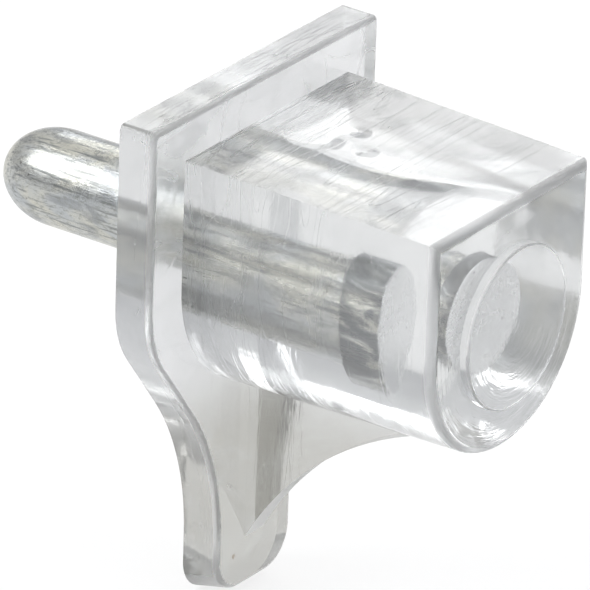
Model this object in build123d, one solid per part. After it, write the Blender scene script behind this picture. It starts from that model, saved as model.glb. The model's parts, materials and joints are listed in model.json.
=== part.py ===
from build123d import *
import os

# A clear shelf support on a steel pin. The pin goes into a hole in the cabinet side.
# The clear body stands outside the hole and carries the shelf on its flat seat.
# Frame: the origin is on the pin's axis, at the back of the wall plate.
# X points out of the cabinet side, Z points up. All sizes are in millimetres.

# Steel pin
pin_dia = 5.0
pin_reach = 13.5
tip_length = 3.2
head_step = 0.4
head_length = 2.4
head_swell = 0.06
head_edge_round = 0.12

# Clear body: the wall plate and the leg it narrows to.
# The plate stands out past the block's sides, and above its seat as a stop for the shelf.
plate_thick = 2.1
plate_side = 2.6
plate_lip = 2.25
plate_corner_round = 0.35
leg_width = 6.3
leg_end_round = 2.0
shoulder_z = -2.45
shoulder_round = 5.3
neck_z = -10.8
neck_round = 14.0
plate_edge_round = 0.3

# Clear body: the block that carries the shelf, and the solid plastic in front of the pin's head
block_length = 14.8
back_width = 13.8
back_seat = 6.95
side_taper = 0.25
seat_fall = 0.45
front_edge_round = 0.5
front_cover = 4.5

# Clear body: the round pad on the block's front face
pad_dia = 8.55
pad_height = 0.5
pad_edge_round = 0.15

# Clear body: the rib between the leg and the block's underside.
# It stops short of the block's front, and of the leg's end.
rib_thick = 1.6
rib_tip_z = -15.9
rib_setback = 2.9
rib_edge_radius = 18.4
rib_root = 0.6
leg_foot = 3.1
leg_end_rise = 0.5

# The body is moulded round the pin, so there is no room between them.
moulding_gap = 0.0

# Two corners this close in height are on the same level.
level_tolerance = 0.001

block_front_x = plate_thick + block_length
front_width = back_width - 2 * side_taper
front_seat = back_seat - seat_fall
plate_width = back_width + 2 * plate_side
plate_top = back_seat + plate_lip
leg_bottom = rib_tip_z - leg_foot
rib_reach_x = block_front_x - rib_setback
head_front_x = block_front_x - front_cover
head_back_x = head_front_x - head_length
pin_radius = pin_dia / 2
head_radius = pin_radius + head_step


def corners_at_height(sketch, height):
    """The corner points of a flat outline that lie at one height."""
    return [v for v in sketch.vertices() if abs(v.Y - height) < level_tolerance]


def plate_outline(x, bottom):
    """The plate's outline at one distance from the cabinet side, with the leg's end at one height."""
    half = plate_width / 2
    leg_half = leg_width / 2
    right_side = [(half, plate_top), (half, shoulder_z), (leg_half, neck_z), (leg_half, bottom)]
    left_side = [(-y, z) for y, z in reversed(right_side)]
    outline = make_face(Polyline(*right_side, *left_side, close=True))
    outline = fillet(corners_at_height(outline, neck_z), neck_round)
    outline = fillet(corners_at_height(outline, shoulder_z), shoulder_round)
    outline = fillet(corners_at_height(outline, plate_top), plate_corner_round)
    outline = fillet(corners_at_height(outline, bottom), leg_end_round)
    return Plane.YZ.offset(x) * outline


def wall_plate():
    """The plate against the cabinet side, with the leg it narrows to. The leg's end rises to the front."""
    back = plate_outline(0, leg_bottom)
    front = plate_outline(plate_thick, leg_bottom + leg_end_rise)
    plate = loft([back, front], ruled=True)
    front_outline = plate.faces().sort_by(Axis.X)[-1].edges()
    return fillet(front_outline, plate_edge_round)


def block_top():
    """The upper half of the block, with a sloping seat, narrowing sides and only flat faces."""
    back = back_width / 2
    front = front_width / 2
    ends = [(plate_thick, -back), (block_front_x, -front), (block_front_x, front), (plate_thick, back)]
    plan = extrude(make_face(Polyline(*ends, close=True)), back_seat)
    heights = [(plate_thick, 0), (block_front_x, 0), (block_front_x, front_seat), (plate_thick, back_seat)]
    side = extrude(Plane.XZ * make_face(Polyline(*heights, close=True)), back, both=True)
    return plan & side


def block_bottom():
    """The lower half of the block, round about the pin's axis and narrowing to the front."""
    back = (plate_thick, -back_width / 2)
    front = (block_front_x, -front_width / 2)
    half_section = make_face(Polyline((plate_thick, 0), back, front, (block_front_x, 0), close=True))
    return revolve(half_section, Axis.X, 180)


def shelf_block():
    """The block under the shelf. It tapers a little so that it leaves its mould."""
    block = block_top() + block_bottom()
    front_outline = block.faces().sort_by(Axis.X)[-1].edges()
    return fillet(front_outline, front_edge_round)


def front_pad():
    """The low round pad on the front face. It starts inside the block."""
    pad = Pos(block_front_x, 0, 0) * Cylinder(
        pad_dia / 2, 2 * pad_height, rotation=(0, 90, 0)
    )
    rim = pad.faces().sort_by(Axis.X)[-1].edges()
    return fillet(rim, pad_edge_round)


def rib():
    """The thin web in the corner under the block, with a hollow curved edge."""
    tip = (plate_thick, rib_tip_z)
    reach = (rib_reach_x, -front_width / 2)
    inner_x = plate_thick - rib_root
    edge = RadiusArc(tip, reach, rib_edge_radius)
    inside = Polyline(reach, (rib_reach_x, 0), (inner_x, 0), (inner_x, rib_tip_z), tip)
    web = make_face([*edge.edges(), *inside.edges()])
    return extrude(Plane.XZ * web, rib_thick / 2, both=True)


def pin_profile(grow):
    """Half outline of the pin, with every surface moved out by one small distance.

    The shaft is round and even where it goes into the cabinet. In the plastic it swells a
    little towards the head, as it does when the head is pressed from the wire.
    """
    shaft = pin_radius + grow
    head = head_radius + grow
    back = head_back_x - grow
    front = head_front_x + grow
    shoulder_x = tip_length - pin_reach
    tip = EllipticalCenterArc((shoulder_x, 0), tip_length + grow, shaft, 90, arc_size=90)
    tip_x = shoulder_x - tip_length - grow
    head_part = [(tip_x, 0), (front, 0), (front, head), (back, head)]
    shaft_part = [(back, shaft + head_swell), (0, shaft), (shoulder_x, shaft)]
    steps = Polyline(*head_part, *shaft_part)
    outline = make_face([*tip.edges(), *steps.edges()])
    return fillet(corners_at_height(outline, head), head_edge_round)


def steel_pin():
    """The pin: a rounded tip, a plain shaft and a wider head held in the body."""
    return revolve(Plane.XZ * pin_profile(0), Axis.X, 360)


def clear_body():
    """Everything moulded in clear plastic, with the room the pin takes."""
    body = wall_plate() + shelf_block() + front_pad() + rib()
    return body - revolve(Plane.XZ * pin_profile(moulding_gap), Axis.X, 360)


os.makedirs("parts", exist_ok=True)
export_step(clear_body(), "parts/clear_body.step")
export_step(steel_pin(), "parts/steel_pin.step")
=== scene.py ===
# %% [markdown]
# # A clear shelf support on a steel pin
# The real thing is a clear plastic moulding cast round a plated steel pin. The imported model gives
# both pieces their exact shapes and places, in metres. This lesson loads them, turns the pin into
# a finer surface, gives each piece its finish, and lights it as a small thing on a white table.

import json
import math

import bpy
import numpy as np
from mathutils import Matrix, Vector


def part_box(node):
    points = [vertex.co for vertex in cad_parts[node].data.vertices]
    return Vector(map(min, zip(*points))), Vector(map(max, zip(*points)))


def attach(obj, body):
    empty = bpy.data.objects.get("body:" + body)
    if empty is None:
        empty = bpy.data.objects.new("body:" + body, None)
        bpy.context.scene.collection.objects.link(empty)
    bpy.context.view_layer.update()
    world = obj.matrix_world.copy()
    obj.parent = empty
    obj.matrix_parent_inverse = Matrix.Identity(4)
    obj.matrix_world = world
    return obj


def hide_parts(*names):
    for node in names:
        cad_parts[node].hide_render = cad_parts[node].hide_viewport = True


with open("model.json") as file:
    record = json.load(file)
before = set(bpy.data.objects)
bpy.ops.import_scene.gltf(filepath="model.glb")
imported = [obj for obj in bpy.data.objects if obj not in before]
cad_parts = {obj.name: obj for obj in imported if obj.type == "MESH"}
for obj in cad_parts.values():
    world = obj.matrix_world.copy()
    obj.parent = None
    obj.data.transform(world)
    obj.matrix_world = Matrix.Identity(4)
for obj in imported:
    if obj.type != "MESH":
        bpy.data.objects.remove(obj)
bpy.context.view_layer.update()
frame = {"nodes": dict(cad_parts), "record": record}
MM = 0.001
scene = bpy.context.scene
body = frame["nodes"]["clear_body"]
print("pieces from the frame:", sorted(frame["nodes"]))

# %% [markdown]
# ## Sizes the lesson needs
# The pin's own box gives where its tip and its head end. Its radius comes from the mount that
# says which hole it fits. The head is the widest part, so half the box's height is its radius.

# %% Read the sizes
pin_low, pin_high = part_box("steel_pin")
body_low, body_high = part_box("clear_body")
pin_mount = next(m for m in frame["record"]["mounts"] if m["name"] == "cabinet_pin")
shaft_radius = pin_mount["dims"]["r_mm"] * MM
shoulder_x = -pin_mount["dims"]["length_mm"] * MM
head_radius = pin_high.z
head_length = 2.4 * MM
print("pin from", round(pin_low.x / MM, 2), "to", round(pin_high.x / MM, 2), "mm")

# %% [markdown]
# ## Helpers for surfaces and node trees
# A surface here is a grid of points, worked out as whole arrays. A node tree is easier to read
# when each node is made and wired in one short call.


# %% Mesh helper
def ring_surface(name, x, radius, around):
    """A closed surface turned about the X axis. Point (i, j) lies at x[i], at distance radius[i, j]
    from the axis, at angle 2 pi j / around. The first and last rings have no radius, so each is
    one point, and the rows next to them close on it with triangles."""
    angle = np.arange(around) * 2 * math.pi / around
    middle = radius[1:-1]
    grid_x = np.repeat(x[1:-1, None], around, axis=1)
    grid = np.stack([grid_x, middle * np.cos(angle), middle * np.sin(angle)], axis=-1)
    ends = np.array([[x[0], 0, 0], [x[-1], 0, 0]])
    points = np.concatenate([grid.reshape(-1, 3), ends])
    rows, columns = np.meshgrid(np.arange(len(x) - 3), np.arange(around), indexing="ij")
    here = rows * around + columns
    beside = rows * around + (columns + 1) % around
    sides = np.stack([here, beside, beside + around, here + around], axis=-1).reshape(-1, 4)
    column = np.arange(around)
    following = (column + 1) % around
    last_row = (len(x) - 3) * around
    first_point = len(points) - 2
    tip = np.stack([np.full(around, first_point), following, column], axis=-1)
    top = np.stack([np.full(around, first_point + 1), last_row + column, last_row + following], axis=-1)
    mesh = bpy.data.meshes.new(name)
    mesh.from_pydata(points.tolist(), [], sides.tolist() + tip.tolist() + top.tolist())
    mesh.polygons.foreach_set("use_smooth", np.ones(len(mesh.polygons), bool))
    piece = bpy.data.objects.new(name, mesh)
    scene.collection.objects.link(piece)
    return piece


# %% Node helpers
class Tree:
    """A short way to add nodes to one node tree and wire them."""

    def __init__(self, tree):
        self.tree = tree

    def add(self, kind, **settings):
        """Adds a node. Settings named after an input are values or links, the others are options."""
        node = self.tree.nodes.new(kind)
        for key, value in settings.items():
            if hasattr(node, key):
                setattr(node, key, value)
            else:
                self.feed(node.inputs[key.replace("_", " ")], value)
        return node

    def feed(self, socket, value):
        """Wires an output to a socket, or sets the socket's own value."""
        if isinstance(value, bpy.types.NodeSocket):
            self.tree.links.new(value, socket)
        else:
            socket.default_value = value

    def math(self, operation, a, b=0.0, c=0.0, clamp=False):
        """One sum on up to three numbers or outputs."""
        node = self.tree.nodes.new("ShaderNodeMath")
        node.operation = operation
        node.use_clamp = clamp
        for socket, value in zip(node.inputs, (a, b, c)):
            self.feed(socket, value)
        return node.outputs[0]

    def noise(self, place, scale, detail=3.0, rough=0.5, turn=0.0):
        """Smooth random values from 0 to 1, at one size of grain."""
        node = self.add("ShaderNodeTexNoise", Vector=place, Scale=scale, Detail=detail)
        node.inputs["Roughness"].default_value = rough
        node.inputs["Distortion"].default_value = turn
        return node.outputs["Fac"]

    def ramp(self, value, low, high):
        """0 up to low, 1 from high, and a smooth rise between them."""
        node = self.add("ShaderNodeMapRange", interpolation_type="SMOOTHSTEP", Value=value)
        node.inputs["From Min"].default_value = low
        node.inputs["From Max"].default_value = high
        return node.outputs["Result"]

    def blend(self, share, first, second):
        """A mix of two colours."""
        node = self.tree.nodes.new("ShaderNodeMix")
        node.data_type = "RGBA"
        self.feed(node.inputs["Factor"], share)
        self.feed(node.inputs["A"], first)
        self.feed(node.inputs["B"], second)
        return node.outputs["Result"]

    def place(self, scale=(1, 1, 1), turn=(0, 0, 0), shift=(0, 0, 0)):
        """Object coordinates, stretched, turned and moved."""
        source = self.tree.nodes.new("ShaderNodeTexCoord")
        mapping = self.tree.nodes.new("ShaderNodeMapping")
        mapping.inputs["Scale"].default_value = scale
        mapping.inputs["Rotation"].default_value = turn
        mapping.inputs["Location"].default_value = shift
        self.tree.links.new(source.outputs["Object"], mapping.inputs["Vector"])
        return mapping.outputs["Vector"]


def new_group(name, inputs, outputs):
    """A node group with number inputs and outputs, and its Tree, its input node and its output node."""
    tree = bpy.data.node_groups.new(name, "ShaderNodeTree")
    for socket, value in inputs:
        made = tree.interface.new_socket(socket, in_out="INPUT", socket_type="NodeSocketFloat")
        made.default_value = value
    for socket in outputs:
        tree.interface.new_socket(socket, in_out="OUTPUT", socket_type="NodeSocketFloat")
    return Tree(tree), tree.nodes.new("NodeGroupInput"), tree.nodes.new("NodeGroupOutput")


def use_group(tree, group, **values):
    """Places a node group in a material with its own values."""
    node = tree.tree.nodes.new("ShaderNodeGroup")
    node.node_tree = group
    for key, value in values.items():
        tree.feed(node.inputs[key.replace("_", " ")], value)
    return node


def new_material(name):
    """An empty material, its Tree and its Principled shader wired to the output."""
    material = bpy.data.materials.new(name)
    material.use_nodes = True
    tree = Tree(material.node_tree)
    material.node_tree.nodes.clear()
    shader = tree.add("ShaderNodeBsdfPrincipled")
    output = tree.add("ShaderNodeOutputMaterial")
    tree.feed(output.inputs["Surface"], shader.outputs["BSDF"])
    return material, tree, shader, output


# %% [markdown]
# ## The steel pin
# The pin is turned from wire: a bullet tip, a plain shaft and a wider head that keeps it in the
# plastic. Drawing leaves faint lines along it and a shallow crease. A profile carried round the
# axis gives all of that. Inside the plastic the surface stands out by two to eight hundredths of
# a millimetre, because the plastic is moulded hard against the steel and leaves no film of air.


# %% The pin's outline and surface
def rounded_step(count):
    """Values from 0 to 1, closer together at both ends."""
    return (1 - np.cos(np.linspace(0, math.pi, count))) / 2


def bump_at(value, centre, width):
    """A smooth hump of height 1 about a centre."""
    return np.exp(-(((value - centre) / width) ** 2))


press = 0.02 * MM
edge_round = 0.12 * MM
held_swell = 0.06 * MM
tip_length = shoulder_x - pin_low.x
tip_turn = rounded_step(48) * math.pi / 2
tip_x = shoulder_x - tip_length * np.cos(tip_turn)
tip_r = shaft_radius * np.sin(tip_turn)
head_front = pin_high.x + press
head_back = pin_high.x - head_length - press
shaft_x = np.linspace(shoulder_x, head_back, 260)[1:]
corner = np.linspace(0, math.pi / 2, 7)
back_x = head_back + edge_round * (1 - np.sin(corner[::-1]))
back_r = head_radius - edge_round * (1 - np.cos(corner[::-1]))
front_x = head_front - edge_round * (1 - np.sin(corner))
front_r = head_radius - edge_round * (1 - np.cos(corner))
face_r = np.linspace(head_radius - edge_round, 0, 12)[1:]
outline_x = np.concatenate([tip_x, shaft_x, back_x, front_x, np.full(len(face_r), head_front)])
outline_r = np.concatenate([tip_r, np.full(len(shaft_x), shaft_radius), back_r, front_r, face_r])
around = 192
angles = np.arange(around) * 2 * math.pi / around
swell = held_swell * np.clip(outline_x / head_back, 0, 1)
hole_edge = 0.05 * MM
buried = (outline_x > hole_edge) & (outline_r > 0.5 * shaft_radius)
pin_radius_grid = np.repeat((outline_r + buried * (press + swell))[:, None], around, axis=1)

crease_angle = math.radians(-62)
crease_depth = 0.035 * MM
crease_width = 0.07
crease_sway = 0.10
along = np.clip((outline_x - pin_low.x) / (0 - pin_low.x), 0, 1)
crease_path = crease_angle + crease_sway * np.sin(along * 5.0)
crease_reach = np.clip(np.sin(np.clip(along * 1.02, 0, 1) * math.pi), 0, 1) ** 0.5
crease = bump_at(angles[None, :] - 2 * math.pi, crease_path[:, None], crease_width)
pin_radius_grid -= crease_depth * crease * crease_reach[:, None] * (outline_x < 0)[:, None]
pin = ring_surface("steel_pin_drawn", outline_x, pin_radius_grid, around)
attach(pin, "root")
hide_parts("steel_pin")
print("pin surface:", len(pin.data.polygons), "faces")

# %% [markdown]
# ## Shared surface effects
# Both finishes share two kinds of wear: fine scratches that run in many directions, and small
# specks of dirt. Each is a node group with named inputs, built once. Scratches are thin bands
# where a stretched wavy noise passes its middle value. Specks are the cores of scattered cells.


# %% Scratches and specks as node groups
def build_scratches():
    """Fine lines where a stretched noise crosses one half, in three directions."""
    tree, given, output = new_group(
        "fine_scratches", [("Size", 900.0), ("Width", 0.01), ("Bend", 0.6)], ["Mask"]
    )
    total = None
    for turn in ((0.3, 0.2, 0.4), (1.1, 0.7, 1.3), (2.0, 1.6, 2.3)):
        place = tree.place(scale=(1.0, 0.07, 0.12), turn=turn, shift=turn)
        noise = tree.add("ShaderNodeTexNoise", Vector=place, Detail=0.0)
        tree.feed(noise.inputs["Scale"], given.outputs["Size"])
        tree.feed(noise.inputs["Distortion"], given.outputs["Bend"])
        off_middle = tree.math("ABSOLUTE", tree.math("SUBTRACT", noise.outputs["Fac"], 0.5))
        line = tree.math("SUBTRACT", 1.0, tree.math("DIVIDE", off_middle, given.outputs["Width"]), clamp=True)
        patches = tree.ramp(tree.noise(place, 160.0, 2.0), 0.5, 0.68)
        line = tree.math("MULTIPLY", line, patches)
        total = line if total is None else tree.math("MAXIMUM", total, line)
    tree.feed(output.inputs["Mask"], total)
    return tree.tree


def build_specks():
    """Small round spots at random places. Share is how many of the cells hold one."""
    tree, given, output = new_group(
        "small_specks", [("Size", 500.0), ("Spot", 0.12), ("Share", 0.1)], ["Mask"]
    )
    place = tree.place()
    cells = tree.add("ShaderNodeTexVoronoi", Vector=place)
    tree.feed(cells.inputs["Scale"], given.outputs["Size"])
    ragged = tree.math("MULTIPLY", tree.noise(place, 5000.0, 2.0), 0.12)
    distance = tree.math("ADD", cells.outputs["Distance"], ragged)
    inside = tree.math("LESS_THAN", distance, tree.math("ADD", given.outputs["Spot"], 0.05))
    pick = tree.add("ShaderNodeSeparateColor", Color=cells.outputs["Color"])
    chosen = tree.math("LESS_THAN", pick.outputs[0], given.outputs["Share"])
    tree.feed(output.inputs["Mask"], tree.math("MULTIPLY", inside, chosen))
    return tree.tree


scratches = build_scratches()
specks = build_specks()
print("shared effects:", scratches.name, specks.name)

# %% [markdown]
# ## Plated steel
# The pin is zinc plated: a grey metal with a faint olive and blue cast, long drawn lines, small
# pits and cloudy patches. Metal shows its colour in its reflections, so the colour stays light
# and the detail goes into roughness and a low bump.


# %% The steel's finish
def plated_steel():
    """Cloudy zinc over drawn steel, with lines along X, pits, scratches, painted shade on the head and a
    painted reflection on its face.
    """
    material, tree, shader, output = new_material("plated_steel_drawn")
    lines_place = tree.place(scale=(0.07, 1, 1))
    lines = tree.noise(lines_place, 5200.0, 4.0, 0.6)
    fine_lines = tree.noise(tree.place(scale=(0.02, 1, 1)), 14000.0, 2.0, 0.6)
    clouds = tree.noise(tree.place(scale=(0.5, 1, 1)), 420.0, 4.0, 0.6, 0.6)
    grain = tree.noise(tree.place(scale=(0.45, 1, 1)), 5200.0, 4.0, 0.75)
    tint = tree.blend(tree.ramp(clouds, 0.38, 0.62), (0.47, 0.49, 0.50, 1), (0.60, 0.59, 0.52, 1))
    tint = tree.blend(tree.ramp(lines, 0.52, 0.66), tint, (0.26, 0.27, 0.265, 1))
    patches = tree.noise(tree.place(scale=(0.4, 1, 1)), 900.0, 4.0, 0.65, 1.0)
    tint = tree.blend(tree.math("MULTIPLY", tree.ramp(patches, 0.54, 0.68), 0.6), tint, (0.24, 0.25, 0.26, 1))
    along = tree.add("ShaderNodeSeparateXYZ", Vector=tree.place()).outputs["X"]
    tint = tree.blend(tree.math("MULTIPLY", tree.ramp(grain, 0.50, 0.62), 0.6), tint, (0.27, 0.28, 0.26, 1))
    # Painted shade: the side of the head, deep in the plastic, is painted dark in patches for the shade it
    # lies in.
    on_head_shade = tree.ramp(along, head_back - 0.1 * MM, head_back + 0.1 * MM)
    head_shade_patches = tree.ramp(patches, 0.40, 0.58)
    tint = tree.blend(tree.math("MULTIPLY", on_head_shade, head_shade_patches), tint, (0.13, 0.14, 0.145, 1))
    # Painted reflection: the head's flat front face is painted nearly white for the pale reflection it shows.
    face_painted_reflection = tree.ramp(along, head_front - 0.09 * MM, head_front - 0.03 * MM)
    tint = tree.blend(face_painted_reflection, tint, (0.86, 0.865, 0.87, 1))
    marks = use_group(tree, scratches, Size=900.0, Width=0.010, Bend=0.1)
    spots = use_group(tree, specks, Size=1300.0, Spot=0.10, Share=0.16)
    tint = tree.blend(tree.math("MULTIPLY", spots.outputs[0], 0.7), tint, (0.16, 0.15, 0.14, 1))
    rough = tree.math("MULTIPLY_ADD", clouds, 0.18, 0.12)
    rough = tree.math("MULTIPLY_ADD", lines, 0.10, rough)
    rough = tree.math("MULTIPLY_ADD", marks.outputs[0], 0.12, rough)
    height = tree.math("MULTIPLY_ADD", lines, 0.55, tree.math("MULTIPLY", fine_lines, 0.25))
    height = tree.math("MULTIPLY_ADD", grain, 0.85, height)
    height = tree.math("MULTIPLY_ADD", marks.outputs[0], -0.15, height)
    height = tree.math("MULTIPLY_ADD", spots.outputs[0], -0.6, height)
    bump = tree.add("ShaderNodeBump", Height=height, Distance=0.022 * MM)
    bump.inputs["Strength"].default_value = 0.9
    tree.feed(shader.inputs["Base Color"], tint)
    tree.feed(shader.inputs["Roughness"], rough)
    tree.feed(shader.inputs["Normal"], bump.outputs["Normal"])
    shader.inputs["Metallic"].default_value = 1.0
    return material


pin.data.materials.append(plated_steel())
print("pin finish:", pin.data.materials[0].name)

# %% [markdown]
# ## Clear plastic
# The body is clear moulded plastic, glossy but not perfect. Handling has left swirling hairlines
# and a faint haze, the thick block has sunk a little along the pin as it cooled, and a few brown
# and dark specks cling to it. The shader is glass with the plastic's own bending of light and a
# little milkiness, and a grey warmth grows with the thickness of plastic that the light crosses.
# The leg and rib below the block carry painted shade, a darker warm grey, and the rounded edges
# that face forwards are painted paler, as painted light.


# %% The sunk line over the pin
def build_sink():
    """A shallow valley along X in the block's top, which bends to one side near the front.
    Its depth falls as exp(-(across / width) squared) from its middle line."""
    tree, given, output = new_group("sink_over_pin", [("Bend from", 0.009), ("Width", 0.001)], ["Height"])
    spot = tree.add("ShaderNodeSeparateXYZ", Vector=tree.place())
    along, across, height = spot.outputs
    bend = tree.add("ShaderNodeMapRange", interpolation_type="SMOOTHSTEP", Value=along)
    tree.feed(bend.inputs["From Min"], given.outputs["Bend from"])
    bend.inputs["From Max"].default_value = body_high.x
    bend.inputs["To Min"].default_value = -1.6 * MM
    bend.inputs["To Max"].default_value = 1.2 * MM
    off = tree.math("SUBTRACT", across, bend.outputs["Result"])
    off = tree.math("DIVIDE", off, given.outputs["Width"])
    valley = tree.math("EXPONENT", tree.math("MULTIPLY", tree.math("MULTIPLY", off, off), -1.0))
    top_only = tree.ramp(height, 5.0 * MM, 6.0 * MM)
    block_only = tree.ramp(along, 2.2 * MM, 3.5 * MM)
    valley = tree.math("MULTIPLY", tree.math("MULTIPLY", valley, top_only), block_only)
    tree.feed(output.inputs["Height"], tree.math("MULTIPLY", valley, -1.0))
    return tree.tree


def build_dent():
    """One small round dimple in the block's top. Its depth falls as exp(-(distance / radius) squared)."""
    tree, given, output = new_group("small_dent", [("X", 0.0), ("Y", 0.0), ("Radius", 0.0005)], ["Height"])
    spot = tree.add("ShaderNodeSeparateXYZ", Vector=tree.place())
    squares = None
    for axis in ("X", "Y"):
        off = tree.math("SUBTRACT", spot.outputs[axis], given.outputs[axis])
        off = tree.math("DIVIDE", off, given.outputs["Radius"])
        square = tree.math("MULTIPLY", off, off)
        squares = square if squares is None else tree.math("ADD", squares, square)
    dimple = tree.math("EXPONENT", tree.math("MULTIPLY", squares, -1.0))
    dimple = tree.math("MULTIPLY", dimple, tree.ramp(spot.outputs["Z"], 5.0 * MM, 6.0 * MM))
    tree.feed(output.inputs["Height"], tree.math("MULTIPLY", dimple, -1.0))
    return tree.tree


def build_swirl():
    """Fine turning lines round the pin's axis, as polishing leaves on the front face.
    The noise changes quickly with the distance from the axis and slowly with the angle. The
    lines come in patches, and fade out above the axis."""
    tree, given, output = new_group("swirl_lines", [("From X", 0.016), ("Fineness", 9000.0)], ["Height"])
    spot = tree.add("ShaderNodeSeparateXYZ", Vector=tree.place())
    along, across, height = spot.outputs
    square = tree.math("ADD", tree.math("MULTIPLY", across, across), tree.math("MULTIPLY", height, height))
    distance = tree.math("MULTIPLY", tree.math("SQRT", square), given.outputs["Fineness"])
    angle = tree.math("ARCTAN2", height, across)
    polar = tree.add("ShaderNodeCombineXYZ", X=distance, Y=tree.math("MULTIPLY", angle, 1.6))
    lines = tree.noise(polar.outputs[0], 1.0, 3.0, 0.6, 0.2)
    front_only = tree.math("GREATER_THAN", along, given.outputs["From X"])
    low_down = tree.ramp(height, 2.0 * MM, -4.5 * MM)
    patchy = tree.math("MULTIPLY", tree.ramp(tree.noise(tree.place(), 320.0, 2.0), 0.25, 0.55), low_down)
    lines = tree.math("MULTIPLY", lines, tree.math("MULTIPLY", patchy, front_only))
    tree.feed(output.inputs["Height"], lines)
    return tree.tree


def build_edge_wear_and_painted_light():
    """1 on the rounded edges that face partly forwards, and 0 on flat faces. It gives both rougher wear and a
    paler tint, which is painted light.
    """
    tree, given, output = new_group("edge_wear_and_painted_light", [("From", 0.10), ("To", 0.97)], ["Mask"])
    geometry = tree.add("ShaderNodeNewGeometry")
    facing = tree.add("ShaderNodeSeparateXYZ", Vector=geometry.outputs["Normal"])
    forward = facing.outputs["X"]
    above = tree.math("GREATER_THAN", forward, given.outputs["From"])
    below = tree.math("LESS_THAN", forward, given.outputs["To"])
    tree.feed(output.inputs["Mask"], tree.math("MULTIPLY", above, below))
    return tree.tree


sink = build_sink()
dent = build_dent()
swirl = build_swirl()
edge_wear_and_painted_light = build_edge_wear_and_painted_light()
print("plastic effects:", sink.name, dent.name, swirl.name, edge_wear_and_painted_light.name)


# %% The plastic's finish
def clear_plastic():
    """Glass-clear plastic with skin waves, a sunk line, hairlines, haze, a few specks, painted shade low down
    and painted light on the forward edges.
    """
    material, tree, shader, output = new_material("clear_plastic_moulded")
    spot = tree.add("ShaderNodeSeparateXYZ", Vector=tree.place())
    waves = tree.noise(tree.place(), 300.0, 2.0, 0.45, 0.3)
    ripples = tree.noise(tree.place(scale=(1, 1, 0.5)), 900.0, 2.0, 0.5, 1.2)
    marks = use_group(tree, scratches, Size=800.0, Width=0.012, Bend=0.5)
    fine_marks = use_group(tree, scratches, Size=2400.0, Width=0.022, Bend=0.3)
    spots = use_group(tree, specks, Size=330.0, Spot=0.055, Share=0.12)
    hollow = use_group(tree, sink, Bend_from=9.0 * MM, Width=0.9 * MM)
    haze = tree.ramp(tree.noise(tree.place(), 240.0, 4.0, 0.6, 1.0), 0.42, 0.66)
    # Painted shade: below the block the leg and rib are tinted a darker warm grey for the shade under the
    # block.
    low_painted_shade = tree.ramp(spot.outputs["Z"], -4.5 * MM, -10.0 * MM)
    top = tree.ramp(spot.outputs["Z"], 6.0 * MM, 6.45 * MM)
    edges = use_group(tree, edge_wear_and_painted_light)
    turned = use_group(tree, swirl, From_X=16.5 * MM, Fineness=3400.0)
    tint = tree.blend(low_painted_shade, (0.87, 0.875, 0.885, 1), (0.61, 0.605, 0.575, 1))
    tint = tree.blend(tree.math("MULTIPLY", haze, 0.4), tint, (0.74, 0.75, 0.75, 1))
    # Painted light: the rounded edges that face forwards are tinted nearly white for the light grey they
    # show; their added roughness is wear.
    tint = tree.blend(tree.math("MULTIPLY", edges.outputs[0], 0.8), tint, (0.97, 0.97, 0.98, 1))
    tint = tree.blend(spots.outputs[0], tint, (0.20, 0.12, 0.06, 1))
    rough = tree.math("MULTIPLY_ADD", marks.outputs[0], 0.16, 0.05)
    rough = tree.math("MULTIPLY_ADD", top, 0.08, rough)
    rough = tree.math("MULTIPLY_ADD", edges.outputs[0], 0.34, rough)
    rough = tree.math("MULTIPLY_ADD", fine_marks.outputs[0], 0.12, rough)
    rough = tree.math("MULTIPLY_ADD", haze, 0.10, rough)
    height = tree.math("MULTIPLY_ADD", waves, 0.7, tree.math("MULTIPLY", ripples, 0.02))
    height = tree.math("MULTIPLY_ADD", marks.outputs[0], -0.16, height)
    height = tree.math("MULTIPLY_ADD", fine_marks.outputs[0], -0.08, height)
    height = tree.math("MULTIPLY_ADD", hollow.outputs[0], 3.0, height)
    height = tree.math("MULTIPLY_ADD", turned.outputs[0], 2.4, height)
    for x, y, radius, depth in ((6.0, -0.4, 0.75, 3.2), (6.6, 1.6, 0.45, 2.2), (8.0, -0.1, 0.60, 2.8)):
        dimple = use_group(tree, dent, X=x * MM, Y=y * MM, Radius=radius * MM)
        height = tree.math("MULTIPLY_ADD", dimple.outputs[0], depth, height)
    bump = tree.add("ShaderNodeBump", Height=height, Distance=0.04 * MM)
    bump.inputs["Strength"].default_value = 1.0
    tree.feed(shader.inputs["Base Color"], tint)
    tree.feed(shader.inputs["Roughness"], rough)
    tree.feed(shader.inputs["Normal"], bump.outputs["Normal"])
    shader.inputs["Transmission Weight"].default_value = 0.86
    shader.inputs["IOR"].default_value = 1.58
    depth = tree.add("ShaderNodeVolumeAbsorption", Color=(0.70, 0.72, 0.69, 1), Density=18.0)
    tree.feed(output.inputs["Volume"], depth.outputs["Volume"])
    return material


body.material_slots[0].material = clear_plastic()
print("body finish:", body.material_slots[0].material.name)

# %% [markdown]
# ## The table
# A small product is shown on a white table. The table glows a little for the camera, and for the
# rays that bounce in metal and plastic, so that it looks white. The rest of its light is plain
# reflected light, which keeps the object's shadow.


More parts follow.
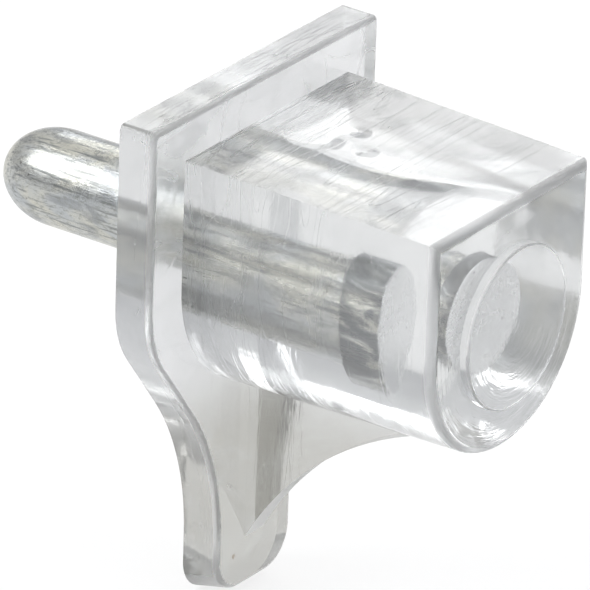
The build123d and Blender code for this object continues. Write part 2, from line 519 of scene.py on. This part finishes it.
# %% A white table that keeps a shadow
def white_table():
    """A pale floor just under the part, far larger than the part, seen as white."""
    reach = 6.0
    clearance = 0.02 * MM
    level = body_low.z - clearance
    mesh = bpy.data.meshes.new("table")
    corners = [(-reach, -reach, level), (reach, -reach, level), (reach, reach, level), (-reach, reach, level)]
    mesh.from_pydata(corners, [], [(0, 1, 2, 3)])
    table = bpy.data.objects.new("table", mesh)
    scene.collection.objects.link(table)
    material, tree, shader, output = new_material("white_table")
    shader.inputs["Base Color"].default_value = (0.86, 0.86, 0.86, 1)
    shader.inputs["Roughness"].default_value = 0.7
    glow = tree.add("ShaderNodeEmission", Color=(1, 1, 1, 1), Strength=0.76)
    soft = tree.add("ShaderNodeBsdfDiffuse", Color=(0.22, 0.22, 0.22, 1))
    lit = tree.add("ShaderNodeAddShader")
    tree.feed(lit.inputs[0], glow.outputs["Emission"])
    tree.feed(lit.inputs[1], soft.outputs["BSDF"])
    rays = tree.add("ShaderNodeLightPath")
    seen = tree.math("MAXIMUM", rays.outputs["Is Glossy Ray"], rays.outputs["Is Transmission Ray"])
    seen = tree.math("MAXIMUM", seen, rays.outputs["Is Camera Ray"])
    mix = tree.add("ShaderNodeMixShader")
    tree.feed(mix.inputs[0], seen)
    tree.feed(mix.inputs[1], shader.outputs["BSDF"])
    tree.feed(mix.inputs[2], lit.outputs["Shader"])
    tree.feed(output.inputs["Surface"], mix.outputs["Shader"])
    mesh.materials.append(material)
    return table


table = white_table()
print("table:", table.name)

# %% [markdown]
# ## Soft lamps
# Three large lamps stand near the part, at the left, the right and the back. A lamp that is large
# for its distance gives soft shadows and broad highlights, which suit a small glossy thing.


# %% Three soft lamps
def soft_lamp(name, direction, distance, width, height, power):
    """A rectangular lamp that looks at the part from one direction."""
    data = bpy.data.lights.new(name, "AREA")
    data.shape = "RECTANGLE"
    data.size = width
    data.size_y = height
    data.energy = power
    lamp = bpy.data.objects.new(name, data)
    toward = Vector(direction).normalized()
    lamp.location = toward * distance
    lamp.rotation_euler = toward.to_track_quat("Z", "Y").to_euler()
    scene.collection.objects.link(lamp)
    return lamp


soft_lamp("lamp_left", (-0.55, -0.55, 0.75), 0.40, 0.26, 0.26, 0.7)
soft_lamp("lamp_right", (0.9, 0.1, 0.8), 0.45, 0.22, 0.30, 0.6)
soft_lamp("lamp_back", (-0.2, 0.9, 0.7), 0.45, 0.36, 0.20, 0.7)
print("lamps:", len(bpy.data.lights))

# %% [markdown]
# ## Dark cards
# Clear plastic and metal show what is round them. In a white room their edges would vanish, so
# two small dark cards, which the camera can't see, give them something darker to reflect.


# %% Dark cards beside and above the part
def grey_card(name, direction, distance, width, height):
    """A dark card out of the camera's sight, which the metal and the clear edges reflect."""
    toward = Vector(direction).normalized()
    turn = toward.to_track_quat("Z", "Y").to_matrix()
    corners = [(-1, -1), (1, -1), (1, 1), (-1, 1)]
    points = [toward * distance + turn @ Vector((a * width / 2, b * height / 2, 0)) for a, b in corners]
    mesh = bpy.data.meshes.new(name)
    mesh.from_pydata([tuple(p) for p in points], [], [(0, 1, 2, 3)])
    card = bpy.data.objects.new(name, mesh)
    scene.collection.objects.link(card)
    material, tree, shader, output = new_material(name)
    shader.inputs["Base Color"].default_value = (0.02, 0.02, 0.022, 1)
    shader.inputs["Roughness"].default_value = 0.9
    mesh.materials.append(material)
    card.visible_camera = False
    return card


grey_card("card_left", (-0.70, -0.70, 0.10), 0.12, 0.05, 0.012)
grey_card("card_above", (-0.35, -0.55, 1.0), 0.16, 0.02, 0.09)

# %% [markdown]
# ## The room
# The room is light grey at the horizon and nearly white overhead. This soft change with height
# is what rounds off the reflections in the pin.

# %% The room
world = bpy.data.worlds.new("grey_room")
scene.world = world
world.use_nodes = True
room = Tree(world.node_tree)
world.node_tree.nodes.clear()
room_place = room.add("ShaderNodeTexCoord")
room_spot = room.add("ShaderNodeSeparateXYZ", Vector=room_place.outputs["Generated"])
room_height = room.ramp(room_spot.outputs["Z"], 0.05, 0.45)
room_shade = room.blend(room_height, (0.64, 0.65, 0.67, 1), (0.92, 0.93, 0.95, 1))
backdrop = room.add("ShaderNodeBackground", Color=room_shade, Strength=0.85)
room_output = room.add("ShaderNodeOutputWorld")
room.feed(room_output.inputs["Surface"], backdrop.outputs["Background"])
print("room:", world.name)

# %% [markdown]
# ## The camera
# The camera stands above the part, between its side and its front, and is tipped a little. A long
# lens from half a metre keeps the upright edges nearly parallel, as a small product needs.

# %% The camera
view_turn = math.radians(34.675)
view_height = math.radians(25.233)
view_roll = math.radians(1.897)
view_distance = 535.7 * MM
view_target = Vector((4.111, 0.0, -2.211)) * MM
sensor_width = 36.0
lens_length = 659.696

toward_camera = Vector(
    (
        math.sin(view_turn) * math.cos(view_height),
        -math.cos(view_turn) * math.cos(view_height),
        math.sin(view_height),
    )
)
level_right = Vector((math.cos(view_turn), math.sin(view_turn), 0))
level_up = toward_camera.cross(level_right)
right = level_right * math.cos(view_roll) + level_up * math.sin(view_roll)
up = level_up * math.cos(view_roll) - level_right * math.sin(view_roll)
camera_data = bpy.data.cameras.new("product_camera")
camera_data.sensor_width = sensor_width
camera_data.lens = lens_length
camera_data.clip_start = 0.05
camera = bpy.data.objects.new("product_camera", camera_data)
turned = Matrix((right, up, toward_camera)).transposed().to_4x4()
camera.matrix_world = Matrix.Translation(view_target + toward_camera * view_distance) @ turned
scene.collection.objects.link(camera)
scene.camera = camera
scene.view_settings.view_transform = "Standard"
print("camera", [round(c, 4) for c in camera.location])
